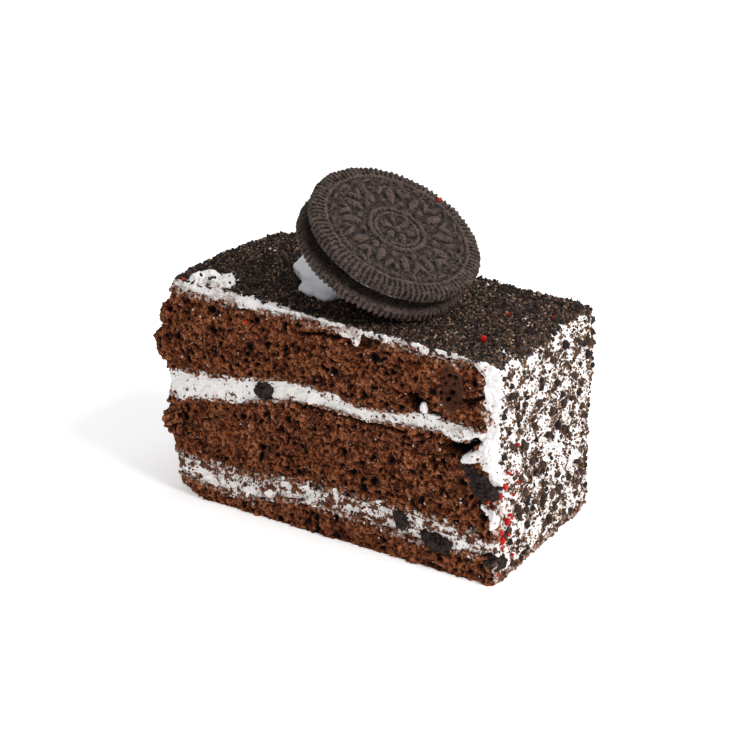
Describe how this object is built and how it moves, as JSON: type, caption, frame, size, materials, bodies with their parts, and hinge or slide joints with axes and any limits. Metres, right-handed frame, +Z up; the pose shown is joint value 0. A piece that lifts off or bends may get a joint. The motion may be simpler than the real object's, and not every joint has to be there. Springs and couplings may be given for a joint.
{
  "type": "cookies and cream cake slice",
  "caption": "Bar-cut slice of chocolate layer cake with whipped cream between the sponges, an iced top and one iced end under dark biscuit crumbs, and a sandwich biscuit leaning on a dab of cream.",
  "frame": {"origin": "middle of the bounding box in plan, on the floor that the slice stands on", "axes": "+Z up; +X along the slice from the cut left end to the iced right end; -Y is the side of the long cut face that shows; metres"},
  "size_m": [0.1042, 0.0542, 0.0887],
  "materials": {
    "sponge": "dry open-crumbed chocolate sponge",
    "cream": "soft whipped cream",
    "crumb_coat": "white icing under dark biscuit crumbs",
    "biscuit": "dry dark cocoa biscuit",
    "filling": "firm sugar filling"
  },
  "bodies": {
    "root": {"sponge_bottom": "sponge", "sponge_middle": "sponge", "sponge_top": "sponge", "cream_lower": "cream", "cream_upper": "cream", "cream_dab": "cream", "icing": "crumb_coat", "chunk_side": "biscuit", "chunk_lower": "biscuit", "chunk_corner": "biscuit", "chunk_upper": "biscuit", "chunk_small": "biscuit", "biscuit_lower": "biscuit", "biscuit_filling": "filling", "biscuit_upper": "biscuit"}
  },
  "joints": []
}
